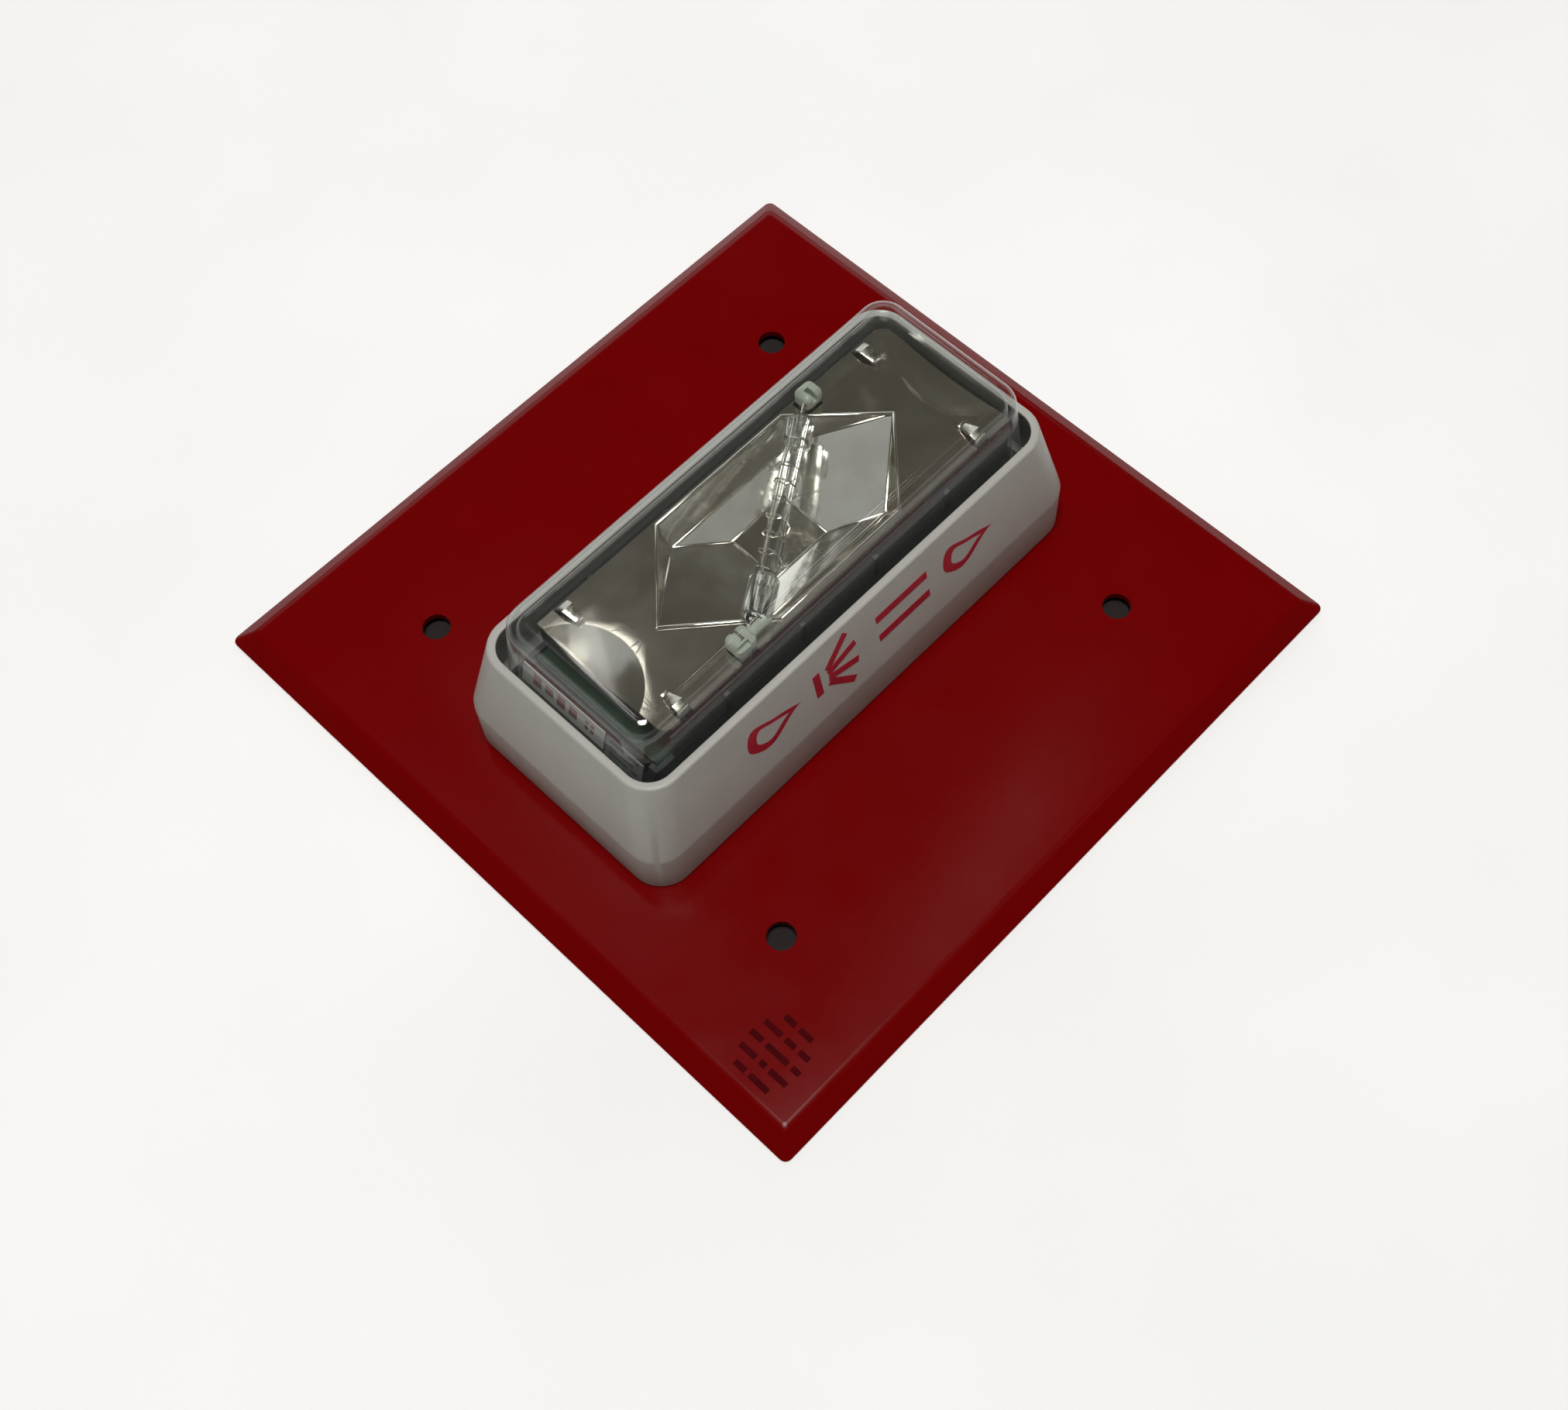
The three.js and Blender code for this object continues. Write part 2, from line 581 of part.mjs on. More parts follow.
place('storage_capacitor', canCapacitor(), 'sleeveBlue');
place('trigger_transformer', coilTransformer(), 'ochreFilm');
place('inductor_core', drumInductor(), 'ferrite');
place('inductor_winding', inductorWinding(), 'copper');
place('switching_transistor', powerTransistor(), 'blackEpoxy');
place('film_capacitor', filmCapacitor(), 'ochreFilm');
place('rectifier_diode', axialPart(34.5, -5, 1.35, 5), 'blackEpoxy');
place('bleed_resistor', axialPart(15.5, -6, 1.2, 6.3), 'tanCeramic');

place('terminal_block', terminalBlock(), 'terminalGreen');
for (let i = 0; i < TERMINALS; i += 1) {
  place(`terminal_screw_${i + 1}`, terminalScrew(i), 'zinc');
  place(`wire_clamp_${i + 1}`, wireClamp(i), 'zinc');
}
corners(BOSS.x, BOSS.y).forEach(([x, y], i) => {
  place(`bezel_screw_${i + 1}`, bezelScrew(x, y), 'zinc');
});

export default object;
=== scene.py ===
"""Wall strobe light of a fire alarm, dressed as an assembly on its CAD frame."""

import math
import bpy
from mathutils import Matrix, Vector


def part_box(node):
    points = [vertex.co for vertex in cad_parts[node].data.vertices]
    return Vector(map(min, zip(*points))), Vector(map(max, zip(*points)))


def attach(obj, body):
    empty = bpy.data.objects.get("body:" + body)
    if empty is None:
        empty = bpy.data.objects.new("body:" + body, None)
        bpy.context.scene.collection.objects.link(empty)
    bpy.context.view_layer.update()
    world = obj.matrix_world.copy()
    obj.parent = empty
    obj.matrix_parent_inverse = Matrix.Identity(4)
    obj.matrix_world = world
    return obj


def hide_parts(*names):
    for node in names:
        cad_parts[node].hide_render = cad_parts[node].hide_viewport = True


bl_info = {
    "name": "Wall Strobe Light",
    "version": (1, 0, 0),
    "blender": (4, 5, 0),
    "location": "3D View > Sidebar > Strobe",
    "description": "Builds the visible pieces of a fire alarm strobe light on its CAD frame",
    "category": "Object",
}

import bmesh
import bpy
from bpy.props import FloatProperty, FloatVectorProperty, PointerProperty
from mathutils import Matrix, Vector

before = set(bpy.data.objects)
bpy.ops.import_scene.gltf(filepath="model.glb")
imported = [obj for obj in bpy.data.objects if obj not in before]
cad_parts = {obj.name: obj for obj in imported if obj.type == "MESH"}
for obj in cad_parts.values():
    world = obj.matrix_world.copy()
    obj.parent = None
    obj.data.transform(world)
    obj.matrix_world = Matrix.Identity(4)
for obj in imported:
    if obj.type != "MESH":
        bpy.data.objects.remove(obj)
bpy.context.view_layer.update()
MM = 0.001
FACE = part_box("bezel")[0].z - 0.3 * MM


# ---- colours, numbers and selection ----


def paint(code):
    """An sRGB hex colour as linear red, green, blue and alpha."""
    parts = [int(code[i : i + 2], 16) / 255 for i in (1, 3, 5)]
    return tuple(c / 12.92 if c < 0.04045 else ((c + 0.055) / 1.055) ** 2.4 for c in parts) + (1,)


def per_mm(size):
    """The scale of a noise or wave whose features are this many millimetres across."""
    return 1 / (size * MM)


def up(height):
    """A height over the plate's face in millimetres, as metres over the wall."""
    return FACE + height * MM


def let_go():
    """Leaves edit mode and deselects everything."""
    if bpy.context.object and bpy.context.object.mode != "OBJECT":
        bpy.ops.object.mode_set(mode="OBJECT")
    bpy.ops.object.select_all(action="DESELECT")


def take(*pieces):
    """Selects these pieces alone; the last one becomes the active one."""
    let_go()
    for piece in pieces:
        piece.select_set(True)
        bpy.context.view_layer.objects.active = piece


def edit():
    bpy.ops.object.mode_set(mode="EDIT")


def named(name):
    """The primitive that was just added, under the name of its piece and with its place in its mesh."""
    piece = bpy.context.object
    piece.name = name
    piece.data.name = name
    bpy.ops.object.transform_apply(location=True, rotation=True, scale=True)
    return piece


def pick(piece, test, kind="FACE"):
    """Selects, in edit mode, the vertices, edges or faces that pass a test of their middle and normal."""
    mesh = bmesh.from_edit_mesh(piece.data)
    for group in (mesh.verts, mesh.edges, mesh.faces):
        for part in group:
            part.select = False
    bpy.ops.mesh.select_mode(type=kind)
    mesh = bmesh.from_edit_mesh(piece.data)
    mesh.normal_update()
    for part in {"VERT": mesh.verts, "EDGE": mesh.edges, "FACE": mesh.faces}[kind]:
        if kind == "VERT":
            middle, normal = part.co, part.normal
        elif kind == "EDGE":
            middle = (part.verts[0].co + part.verts[1].co) / 2
            normal = (part.verts[0].co - part.verts[1].co).normalized()
        else:
            middle, normal = part.calc_center_median(), part.normal
        if test(middle, normal):
            part.select_set(True)
    mesh.select_flush_mode()
    bmesh.update_edit_mesh(piece.data)


def apply(piece, kind, **settings):
    """Adds a modifier with its settings and applies it."""
    take(piece)
    modifier = piece.modifiers.new(kind.title(), kind)
    for key, value in settings.items():
        setattr(modifier, key, value)
    bpy.ops.object.modifier_apply(modifier=modifier.name)


def cut_away(piece, *tools, operation="DIFFERENCE"):
    """Cuts the tools out of a piece, or joins them to it, and drops them."""
    for tool in tools:
        apply(piece, "BOOLEAN", operation=operation, object=tool, solver="EXACT")
        bpy.data.objects.remove(tool)


def ease(piece, width, segments=3, angle=35):
    """Rounds a piece's sharp edges."""
    apply(
        piece,
        "BEVEL",
        width=width * MM,
        segments=segments,
        limit_method="ANGLE",
        angle_limit=math.radians(angle),
        use_clamp_overlap=True,
    )


def finish_faces(piece, angle=35):
    """Merges doubles, turns the faces outward and shades the round ones smooth."""
    take(piece)
    edit()
    bpy.ops.mesh.select_all(action="SELECT")
    bpy.ops.mesh.remove_doubles(threshold=0.000002)
    bpy.ops.mesh.normals_make_consistent(inside=False)
    let_go()
    take(piece)
    bpy.ops.object.shade_smooth_by_angle(angle=math.radians(angle))


def face_up(piece):
    """Turns an open shell so that its level top face points up."""
    take(piece)
    edit()
    mesh = bmesh.from_edit_mesh(piece.data)
    if max(mesh.faces, key=lambda f: f.calc_area()).normal.z < 0:
        bpy.ops.mesh.select_all(action="SELECT")
        bpy.ops.mesh.flip_normals()
    let_go()


def settle(piece, look, *nodes, body="root"):
    """Gives a piece its material, hangs it on its body and lets it stand for its CAD nodes."""
    let_go()
    piece.data.materials.clear()
    piece.data.materials.append(look)
    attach(piece, body)
    if nodes:
        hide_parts(*nodes)
    return piece


def dress(look, *nodes):
    """Gives CAD nodes that stay in view a better material."""
    for name in nodes:
        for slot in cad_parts[name].material_slots:
            slot.material = look


# ---- outlines ----


def outline(name, x, y, radius, height, centre=(0, 0), steps=8):
    """A flat rounded rectangle from half sizes in millimetres, left selected in edit mode."""
    let_go()
    bpy.ops.mesh.primitive_plane_add(size=2 * MM, location=(0, 0, 0))
    piece = named(name)
    edit()
    bpy.ops.mesh.select_all(action="SELECT")
    bpy.ops.transform.resize(value=(x, y, 1), center_override=(0, 0, 0))
    bpy.ops.mesh.bevel(offset=radius * MM, segments=steps, affect="VERTICES", profile=0.5)
    bpy.ops.mesh.select_all(action="SELECT")
    bpy.ops.transform.translate(value=(centre[0] * MM, centre[1] * MM, height))
    return piece


def grow(piece, rise, x=0.0, y=0.0, centre=(0, 0)):
    """Extrudes the selected outline by a rise and moves its corners outward, in millimetres."""
    bpy.ops.mesh.extrude_region_move(TRANSFORM_OT_translate={"value": (0, 0, rise * MM)})
    mesh = bmesh.from_edit_mesh(piece.data)
    chosen = [v for v in mesh.verts if v.select]
    for vert in chosen:
        vert.co.x += x * MM * math.copysign(1, vert.co.x - centre[0] * MM)
        vert.co.y += y * MM * math.copysign(1, vert.co.y - centre[1] * MM)
    bmesh.update_edit_mesh(piece.data)


def block(name, low, high, eased=0.0, segments=3):
    """A block between two corners in millimetres over the plate's face, with eased edges."""
    let_go()
    bpy.ops.mesh.primitive_cube_add(size=MM)
    piece = named(name)
    edit()
    bpy.ops.mesh.select_all(action="SELECT")
    size = [b - a for a, b in zip(low, high)]
    bpy.ops.transform.resize(value=size, center_override=(0, 0, 0))
    middle = [(a + b) / 2 * MM for a, b in zip(low, high)]
    bpy.ops.transform.translate(value=(middle[0], middle[1], middle[2] + FACE))
    let_go()
    if eased:
        ease(piece, eased, segments)
    return piece


def drum(name, x, y, low, high, radius, sides):
    """An upright round, in millimetres over the plate's face."""
    let_go()
    bpy.ops.mesh.primitive_cone_add(
        vertices=sides,
        radius1=radius * MM,
        radius2=radius * MM,
        depth=(high - low) * MM,
        location=(x * MM, y * MM, up((low + high) / 2)),
    )
    return named(name)


def hull(name, points):
    """A closed solid that just holds these points, in millimetres over the plate's face."""
    let_go()
    bpy.ops.mesh.primitive_circle_add(vertices=len(points), radius=MM)
    piece = named(name)
    for vert, (x, y, z) in zip(piece.data.vertices, points):
        vert.co = (x * MM, y * MM, up(z))
    edit()
    bpy.ops.mesh.select_all(action="SELECT")
    bpy.ops.mesh.convex_hull()
    let_go()
    return piece


def lay(piece, origin, right, ahead):
    """Turns a piece drawn flat so that its X runs right and its Y runs ahead, and moves it."""
    right, ahead = Vector(right).normalized(), Vector(ahead).normalized()
    turn = Matrix((right, ahead, right.cross(ahead))).transposed().to_4x4()
    turn.translation = origin
    take(piece)
    piece.matrix_world = turn
    bpy.ops.object.transform_apply(location=True, rotation=True, scale=True)
    return piece


def chip(name, x, y, length, width, thick, turned=0.0):
    """A small flat bar round a point of the plane that it is drawn in, in millimetres."""
    let_go()
    bpy.ops.mesh.primitive_cube_add(size=MM)
    piece = bpy.context.object
    piece.scale = (length, width, thick)
    piece.rotation_euler = (0, 0, math.radians(turned))
    piece.location = (x * MM, y * MM, thick / 2 * MM)
    return named(name)


def twin(piece, name, shift=(0, 0, 0), turned=0.0):
    """A copy with a mesh of its own, turned about the upright axis and shifted, in millimetres."""
    take(piece)
    bpy.ops.object.duplicate()
    other = bpy.context.object
    other.rotation_euler = (0, 0, math.radians(turned))
    other.location = Vector(shift) * MM
    bpy.ops.object.transform_apply(location=True, rotation=True, scale=True)
    other.name = name
    other.data.name = name
    return other


def ball(name, x, y, z, radius, rings=96):
    """A round ball in millimetres over the plate's face, for scooping."""
    let_go()
    bpy.ops.mesh.primitive_uv_sphere_add(
        segments=rings * 2, ring_count=rings, radius=radius * MM, location=(x * MM, y * MM, up(z))
    )
    return named(name)


def merge(name, *pieces):
    """Joins pieces into one mesh."""
    take(*reversed(pieces))
    bpy.ops.object.join()
    piece = bpy.context.object
    piece.name = name
    piece.data.name = name
    return piece


# ---- materials ----


def add(tree, kind, inputs=None, **settings):
    """Adds a node with its settings; each input takes a value or the output that feeds it."""
    node = tree.nodes.new("ShaderNode" + kind)
    for key, value in settings.items():
        setattr(node, key, value)
    for key, value in (inputs or {}).items():
        if isinstance(value, bpy.types.NodeSocket):
            tree.links.new(value, node.inputs[key])
        else:
            node.inputs[key].default_value = value
    return node


def blank(name):
    """A new material's tree, its Principled shader and the piece's own coordinates in metres."""
    look = bpy.data.materials.new(name)
    look.use_nodes = True
    tree = look.node_tree
    place = add(tree, "TexCoord").outputs["Object"]
    return look, tree, tree.nodes["Principled BSDF"], place


def mottle(tree, place, size, low, high, detail=3.0):
    """A colour that wanders between two others over patches of this size in millimetres."""
    noise = add(tree, "TexNoise", {"Vector": place, "Scale": per_mm(size), "Detail": detail})
    ramp = add(tree, "ValToRGB", {"Fac": noise.outputs["Fac"]})
    ramp.color_ramp.elements[0].position = 0.3
    ramp.color_ramp.elements[1].position = 0.7
    ramp.color_ramp.elements[0].color = low
    ramp.color_ramp.elements[1].color = high
    return ramp.outputs["Color"]


def rough(tree, place, size, low, high):
    """A roughness that wanders between two values over patches of this size in millimetres."""
    noise = add(tree, "TexNoise", {"Vector": place, "Scale": per_mm(size), "Detail": 4.0})
    return add(
        tree,
        "MapRange",
        {"Value": noise.outputs["Fac"], "From Min": 0.3, "From Max": 0.7, "To Min": low, "To Max": high},
    ).outputs["Result"]


def bumps(tree, place, size, height, strength=1.0):
    """A normal from grain of this size and height in millimetres."""
    noise = add(tree, "TexNoise", {"Vector": place, "Scale": per_mm(size), "Detail": 2.0})
    return add(
        tree,
        "Bump",
        {"Height": noise.outputs["Fac"], "Distance": height * MM, "Strength": strength},
    ).outputs["Normal"]


def connect(tree, shader, **inputs):
    """Links or sets the shader's sockets; an underscore in a key stands for a space."""
    for key, value in inputs.items():
        socket = shader.inputs[key.replace("_", " ")]
        if isinstance(value, bpy.types.NodeSocket):
            tree.links.new(value, socket)
        else:
            socket.default_value = value


def clear_to_lamps(tree, shader, tint):
    """Lets the lamps shine through a clear shell, so that what it covers is lit."""
    path = add(tree, "LightPath").outputs["Is Shadow Ray"]
    open_way = add(tree, "BsdfTransparent", {"Color": tint}).outputs["BSDF"]
    blend = add(tree, "MixShader", {0: path, 1: shader.outputs["BSDF"], 2: open_way})
    tree.links.new(blend.outputs["Shader"], tree.nodes["Material Output"].inputs["Surface"])


def red_enamel():
    """Gloss stoving enamel, sprayed on steel: deep signal red, a faint orange peel, a clear glossy skin."""
    look, tree, shader, place = blank("red_gloss_enamel")
    tint = bpy.context.scene.strobe_colours
    deep = (*[c * 0.95 for c in tint.plate], 1)
    connect(
        tree,
        shader,
        Base_Color=mottle(tree, place, 14, deep, (*tint.plate, 1)),
        Roughness=rough(tree, place, 9, 0.16, 0.22),
        Normal=bumps(tree, place, 2.2, 0.005),
        IOR=1.5,
        Specular_IOR_Level=0.1,
    )
    return look


def ivory_abs():
    """Moulded ABS in a light neutral grey: a fine spark-eroded grain with a low even sheen."""
    look, tree, shader, place = blank("moulded_ivory_abs")
    tint = bpy.context.scene.strobe_colours
    dull = (*[c * 0.93 for c in tint.bezel], 1)
    connect(
        tree,
        shader,
        Base_Color=mottle(tree, place, 9, dull, (*tint.bezel, 1)),
        Roughness=rough(tree, place, 2.5, 0.4, 0.52),
        Normal=bumps(tree, place, 0.35, 0.006),
        IOR=1.53,
    )
    return look


def clear_polycarbonate():
    """Moulded clear polycarbonate: a thin even wall that bends nothing, brighter where it turns away. Its
    whitish veil at grazing angles is partly the wall's milky haze and partly a painted highlight along the
    lens edges.
    """
    look, tree, shader, place = blank("clear_polycarbonate")
    skin = bumps(tree, place, 16, 0.04, 0.3)
    edge = add(tree, "LayerWeight", {"Blend": 0.5}).outputs["Facing"]
    sharp = add(tree, "Math", {0: edge, 1: 5.0}, operation="POWER").outputs[0]
    amount = add(tree, "MapRange", {"Value": edge, "From Min": 0.4, "From Max": 1.0, "To Min": 0.005,
                                    "To Max": 0.2})
    share = add(tree, "MapRange", {"Value": sharp, "To Min": 0.045, "To Max": 0.85})
    sight = add(tree, "BsdfTransparent", {"Color": (0.95, 0.965, 0.96, 1)})
    # Partly painted highlight: white diffuse, mixed in by facing, whitens the lens edges beyond the wall's
    # own haze.
    milky_haze_and_edge_highlight = add(tree, "BsdfDiffuse", {"Color": paint("#e4e7e6")})
    body = add(tree, "MixShader", {0: amount.outputs["Result"], 1: sight.outputs[0], 2: milky_haze_and_edge_highlight.outputs[0]})
    mirror = add(tree, "BsdfGlossy", {"Color": (1, 1, 1, 1), "Roughness": 0.05, "Normal": skin})
    blend = add(tree, "MixShader", {0: share.outputs["Result"], 1: body.outputs[0], 2: mirror.outputs[0]})
    tree.links.new(blend.outputs[0], tree.nodes["Material Output"].inputs["Surface"])
    tree.nodes.remove(shader)
    return look


def mirror_film():
    """Vacuum-metallised plastic: a warm bright aluminium film over slightly wavy mouldings."""
    look, tree, shader, place = blank("metallised_reflector_film")
    connect(
        tree,
        shader,
        Base_Color=mottle(tree, place, 6, paint("#d6d0c6"), paint("#e2ded6")),
        Metallic=1.0,
        Roughness=rough(tree, place, 4, 0.09, 0.15),
        Normal=bumps(tree, place, 11, 0.03, 0.4),
    )
    return look


def tube_glass():
    """Drawn quartz glass: clear through its middle, with thin bright lines along its sides.

    Its index is lower than real quartz has, so that it bends less of what lies behind it."""
    look, tree, shader, place = blank("quartz_tube_glass")
    connect(
        tree,
        shader,
        Base_Color=(0.97, 0.98, 0.98, 1),
        Roughness=rough(tree, place, 6, 0.02, 0.06),
        Normal=bumps(tree, place, 9, 0.002),
        IOR=1.3,
        Transmission_Weight=1.0,
    )
    clear_to_lamps(tree, shader, (0.95, 0.96, 0.96, 1))
    return look


def clear_silicone():
    """Cut silicone sleeve: clear with a little cloud, softer in its shine than the glass.

    Its index is lower than real silicone has, so that the tube in it can be seen."""
    look, tree, shader, place = blank("clear_silicone")
    connect(
        tree,
        shader,
        Base_Color=(0.93, 0.95, 0.94, 1),
        Roughness=rough(tree, place, 3, 0.1, 0.2),
        Normal=bumps(tree, place, 4, 0.004),
        IOR=1.25,
        Transmission_Weight=1.0,
    )
    clear_to_lamps(tree, shader, (0.9, 0.92, 0.91, 1))
    return look


def nickel():
    """Bright nickel plating on spring strip and wire: a warm white metal with fine drawing lines."""
    look, tree, shader, place = blank("bright_nickel_plate")
    connect(
        tree,
        shader,
        Base_Color=mottle(tree, place, 1.5, paint("#b4aea4"), paint("#d3cfc6")),
        Metallic=1.0,
        Roughness=rough(tree, place, 0.8, 0.16, 0.32),
        Normal=bumps(tree, place, 0.4, 0.006),
    )
    return look


def milky_nylon():
    """Moulded natural nylon: milky and half clear, so that light soaks into its corners."""
    look, tree, shader, place = blank("natural_milky_nylon")
    connect(
        tree,
        shader,
        Base_Color=mottle(tree, place, 2.5, paint("#98a093"), paint("#b0b6a9")),
        Roughness=rough(tree, place, 1.2, 0.34, 0.48),
        Normal=bumps(tree, place, 0.6, 0.01),
        IOR=1.53,
        Subsurface_Weight=0.2,
        Subsurface_Radius=(0.0016, 0.0015, 0.0012),
        Subsurface_Scale=1.0,
    )
    return look


def charcoal_pbt():
    """Moulded black-grey PBT: matt, with a fine grain that greys its edges."""
    look, tree, shader, place = blank("moulded_charcoal_pbt")
    connect(
        tree,
        shader,
        Base_Color=mottle(tree, place, 4, paint("#24272a"), paint("#34383b")),
        Roughness=rough(tree, place, 1.5, 0.5, 0.68),
        Normal=bumps(tree, place, 0.3, 0.008),
        IOR=1.55,
    )
    return look


def board_laminate():
    """Glass-cloth laminate under green solder mask: dark green, with a faint weave under its gloss."""
    look, tree, shader, place = blank("green_solder_mask_laminate")
    weave = add(tree, "TexBrick", {"Vector": place, "Scale": per_mm(0.7), "Mortar Size": 0.1,
                                   "Color1": paint("#0f3c22"), "Color2": paint("#0c3420"),
                                   "Mortar": paint("#082818")})
    connect(
        tree,
        shader,
        Base_Color=weave.outputs["Color"],
        Roughness=rough(tree, place, 3, 0.3, 0.44),
        Normal=bumps(tree, place, 0.5, 0.008),
        IOR=1.5,
    )
    return look


def plain(name, low, high, patch, gloss, grain, height, **more):
    """A dielectric finish: its colour, gloss and grain each wander over their own size in millimetres."""
    look, tree, shader, place = blank(name)
    connect(
        tree,
        shader,
        Base_Color=mottle(tree, place, patch, paint(low), paint(high)),
        Roughness=rough(tree, place, patch * 0.5, *gloss),
        Normal=bumps(tree, place, grain, height),
        **more,
    )
    return look


# ---- pieces ----


class STROBE_OT_plate(bpy.types.Operator):
    """Folds the square box plate and punches its holes and window"""

    bl_idname = "strobe.plate"
    bl_label = "Mounting Plate"

    def execute(self, context):
        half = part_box("mounting_plate")[1].x / MM
        edge, rise, sheet = 3.05, FACE / MM, 1.2
        piece = outline("plate_sheet", half, half, 1.2, 0, steps=4)
        grow(piece, rise, -edge, -edge)
        let_go()
        take(piece)
        edit()
        pick(piece, lambda c, n: c.z > FACE - 1e-6 and abs(n.z) < 0.1, "EDGE")
        bpy.ops.mesh.bevel(offset=context.scene.strobe_sizes.plate_bend, segments=5, affect="EDGES")
        finish_faces(piece)
        lean = edge / rise
        inside = half - sheet * math.hypot(1, 1 / lean) + lean
        hollow = outline("hollow", inside, inside, 0.8, -MM, steps=4)
        grow(hollow, 1 + rise - sheet, -lean * (1 + rise - sheet), -lean * (1 + rise - sheet))
        finish_faces(hollow)
        cut_away(piece, hollow)
        spacing = 39.3
        for x, y in ((1, 1), (-1, 1), (-1, -1), (1, -1)):
            cut_away(piece, drum("hole", x * spacing, y * spacing, -4, 2, 2.35, 40))
            cut_away(piece, drum("hole", x * 42.2, y * 16.6, -4, 2, 1.6, 24))
        window = outline("window", 36, 12.2, 2, up(-4), steps=5)
        grow(window, 6)
        finish_faces(window)
        cut_away(piece, window)
        finish_faces(piece, 30)
        settle(piece, red_enamel(), "mounting_plate")
        return {"FINISHED"}


class STROBE_OT_bezel(bpy.types.Operator):
    """Raises the tapered bezel with its rim and its ledge"""

    bl_idname = "strobe.bezel"
    bl_label = "Bezel"

    def execute(self, context):
        piece = outline("bezel_shell", 47.7, 22.1, 5.6, up(0.3), steps=12)
        grow(piece, 8.7)
        grow(piece, 16.0, -3.35, -3.15)
        bpy.ops.mesh.inset(thickness=1.4 * MM, depth=0)
        grow(piece, -11.7, 2.0, 1.9)
        grow(piece, 0, -1.4, -1.9)
        grow(piece, -1.4)
        grow(piece, 0, 1.7, 2.1)
        grow(piece, -2.9, 0.5, 0.5)
        grow(piece, -8.7)
        bpy.ops.mesh.delete(type="FACE")
        pick(piece, lambda c, n: c.z < up(0.31) and abs(n.z) > 0.9)
        bpy.ops.mesh.delete(type="FACE")
        bpy.ops.mesh.select_mode(type="EDGE")
        bpy.ops.mesh.select_all(action="DESELECT")
        bpy.ops.mesh.select_non_manifold()
        bpy.ops.mesh.bridge_edge_loops()
        let_go()
        finish_faces(piece)
        take(piece)
        edit()
        pick(piece, lambda c, n: abs(c.z - up(9)) < 1e-6 and abs(n.z) < 0.1
             and max(abs(c.x) - 46.5 * MM, abs(c.y) - 20.9 * MM) > 0, "EDGE")
        bpy.ops.mesh.bevel(offset=0.5 * MM, segments=3, affect="EDGES")
        pick(piece, lambda c, n: abs(c.z - up(25)) < 1e-6 and abs(n.z) < 0.1, "EDGE")
        bpy.ops.mesh.bevel(offset=context.scene.strobe_sizes.rim_round, segments=3, affect="EDGES")
        let_go()
        finish_faces(piece, 30)
        settle(piece, ivory_abs(), "bezel")
        return {"FINISHED"}


class STROBE_OT_lens(bpy.types.Operator):
    """Moulds the clear lens as one thin shell with a flange"""

    bl_idname = "strobe.lens"
    bl_label = "Lens"

    def execute(self, context):
        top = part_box("lens")[1].z
        piece = outline("lens_shell", 45.0, 19.3, 4.4, up(10.5), steps=12)
        grow(piece, 0, -1.6, -2.05)
        rise = (top - up(10.5)) / MM
        grow(piece, rise, -rise * 0.085, -rise * 0.085)
        let_go()
        take(piece)
        edit()
        pick(piece, lambda c, n: c.z > top - 1e-6 and abs(n.z) < 0.1, "EDGE")
        bpy.ops.mesh.bevel(offset=context.scene.strobe_sizes.lens_round, segments=9, affect="EDGES")
        pick(piece, lambda c, n: c.z < up(10.51) and abs(n.z) > 0.9 and abs(c.x) < 30 * MM
             and abs(c.y) < 10 * MM)
        bpy.ops.mesh.delete(type="FACE")
        let_go()
        finish_faces(piece)
        face_up(piece)
        apply(piece, "SOLIDIFY", thickness=1.5 * MM, offset=-1.0, use_even_offset=True)
        finish_faces(piece, 30)
        settle(piece, clear_polycarbonate(), "lens")
        dress(plain("grey_gasket_rubber", "#2c2e2f", "#3c3f40", 3, (0.7, 0.85), 0.5, 0.02), "lens_gasket")
        return {"FINISHED"}


SCOOP_CENTRE = 85.95
SCOOP_RADIUS = 60
SCOOP_SKIN = 0.6
BOWL = ((-11.3, 13.0), (16, 13.0), (28.3, 0.5), (15.6, -12.4), (-10, -12.4), (-23.9, 0))


def bowl_hull(name, spread, drop, rim):
    """The bowl's faceted hollow, or with a spread and drop its outer skin."""
    middle = (2.2, 0.3)
    points = []
    for x, y in BOWL:
        reach = 1 + spread / math.hypot(x - middle[0], y - middle[1])
        px, py = middle[0] + (x - middle[0]) * reach, middle[1] + (y - middle[1]) * reach
        points += [(px, py, 27 + rim), (px, py, 27)]
    for half_x, half_y, deep in ((13.4, 9.8, 3.5), (5.6, 4.8, 5.5)):
        for sx, sy in ((1, 1), (-1, 1), (-1, -1), (1, -1)):
            x = middle[0] + sx * (half_x + spread)
            y = middle[1] + sy * (half_y + spread)
            points.append((x, y, 27 - deep - drop))
    return hull(name, points)


def beads(piece):
    """Rounded beads along the bowl's ridges, from the lines where its facets meet."""
    lines = []
    mesh = piece.data
    facets = {}
    for facet in mesh.polygons:
        for key in facet.edge_keys:
            facets.setdefault(key, []).append(facet.normal)
    for (a, b), sides in facets.items():
        start, end = mesh.vertices[a].co.copy(), mesh.vertices[b].co.copy()
        if max(start.z, end.z) > up(27.01) or sides[0].angle(sides[-1]) < 0.1:
            continue
        lines.append((start, end, 0.34 if min(start.z, end.z) > up(26.9) else 0.24))
    made = []
    for start, end, radius in lines:
        let_go()
        way = end - start
        bpy.ops.mesh.primitive_cylinder_add(
            vertices=14, radius=radius * MM, depth=way.length + radius * MM,
            location=(start + end) / 2, rotation=way.to_track_quat("Z", "Y").to_euler(),
        )
        bead = named("bead")
        bpy.ops.object.transform_apply(location=True, rotation=True, scale=True)
        ease(bead, 0.1, 2, 40)
        finish_faces(bead, 35)
        made.append(bead)
    return made


